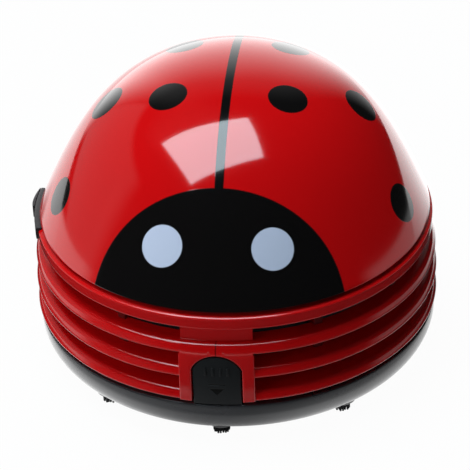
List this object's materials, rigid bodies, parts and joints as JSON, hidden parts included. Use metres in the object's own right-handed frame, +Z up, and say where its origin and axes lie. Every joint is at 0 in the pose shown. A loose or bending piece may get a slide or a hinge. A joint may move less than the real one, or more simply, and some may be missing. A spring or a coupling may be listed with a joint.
{
  "type": "desktop mini vacuum cleaner",
  "caption": "Battery desk vacuum shaped like a ladybird: a glossy dome on a louvred ring over a dust tray with bristle tufts, a thumb switch at the side and a release tab at the front.",
  "frame": {"origin": "on the table under the ring's axis, the centre of the underside", "axes": "+Z up, -Y towards the head and the release tab, -X towards the thumb switch"},
  "size_m": [0.086, 0.0857, 0.0617],
  "materials": {
    "shell_red": "glossy",
    "tray_black": "glossy",
    "tab_black": "satin",
    "bristle_black": "matte",
    "inner_grey": "matte",
    "filter_white": "matte",
    "screw_steel": "satin",
    "contact_steel": "satin",
    "motor_steel": "satin",
    "motor_white": "matte",
    "contact_brass": "satin",
    "cell_sleeve": "glossy",
    "wire_red": "matte",
    "wire_black": "matte",
    "rotor_copper": "satin",
    "impeller_white": "matte"
  },
  "bodies": {
    "tray": {"base_tray": "tray_black", "bristle_tufts": "bristle_black", "filter_frame": "inner_grey", "filter_cloth": "filter_white"},
    "release_tab": {"release_tab": "tab_black"},
    "upper_body": {"louvre_ring": "shell_red", "battery_deck": "inner_grey", "deck_screws": "screw_steel", "fan_shroud": "inner_grey", "shroud_screws": "screw_steel", "motor_can": "motor_steel", "motor_endcap": "motor_white", "motor_terminals": "contact_brass", "motor_clamp": "contact_steel", "clamp_screws": "screw_steel", "cell_left": "cell_sleeve", "cell_right": "cell_sleeve", "bridge_contact": "contact_steel", "plus_contact": "contact_steel", "minus_contact": "contact_steel", "contact_springs": "contact_steel", "switch_plate": "tab_black", "switch_body": "motor_steel", "wire_plus": "wire_red", "wire_switched": "wire_red", "wire_minus": "wire_black"},
    "dome": {"dome_cover": "shell_red"},
    "switch_knob": {"switch_knob": "tab_black"},
    "rotor": {"motor_shaft": "screw_steel", "motor_armature": "rotor_copper", "impeller": "impeller_white"}
  },
  "joints": [
    {"name": "upper_body_open", "type": "hinge", "parent": "tray", "child": "upper_body", "pos_m": [0, 0.041, 0.01135], "axis": [-1, 0, 0], "range_deg": [0, 30]},
    {"name": "release_tab_press", "type": "hinge", "parent": "tray", "child": "release_tab", "pos_m": [0, -0.0417, 0.01015], "axis": [-1, 0, 0], "range_deg": [0, 7], "stiffness_Nm_per_rad": 0.25},
    {"name": "dome_lift", "type": "slide", "parent": "upper_body", "child": "dome", "axis": [0, 0, 1], "range_m": [0, 0.04]},
    {"name": "switch_slide", "type": "hinge", "parent": "upper_body", "child": "switch_knob", "pos_m": [0, 0, 0.02975], "axis": [0, 0, 1], "range_deg": [0, 8]},
    {"name": "rotor_spin", "type": "hinge", "parent": "upper_body", "child": "rotor", "pos_m": [0, 0, 0.0217], "axis": [0, 0, 1], "continuous": true}
  ]
}
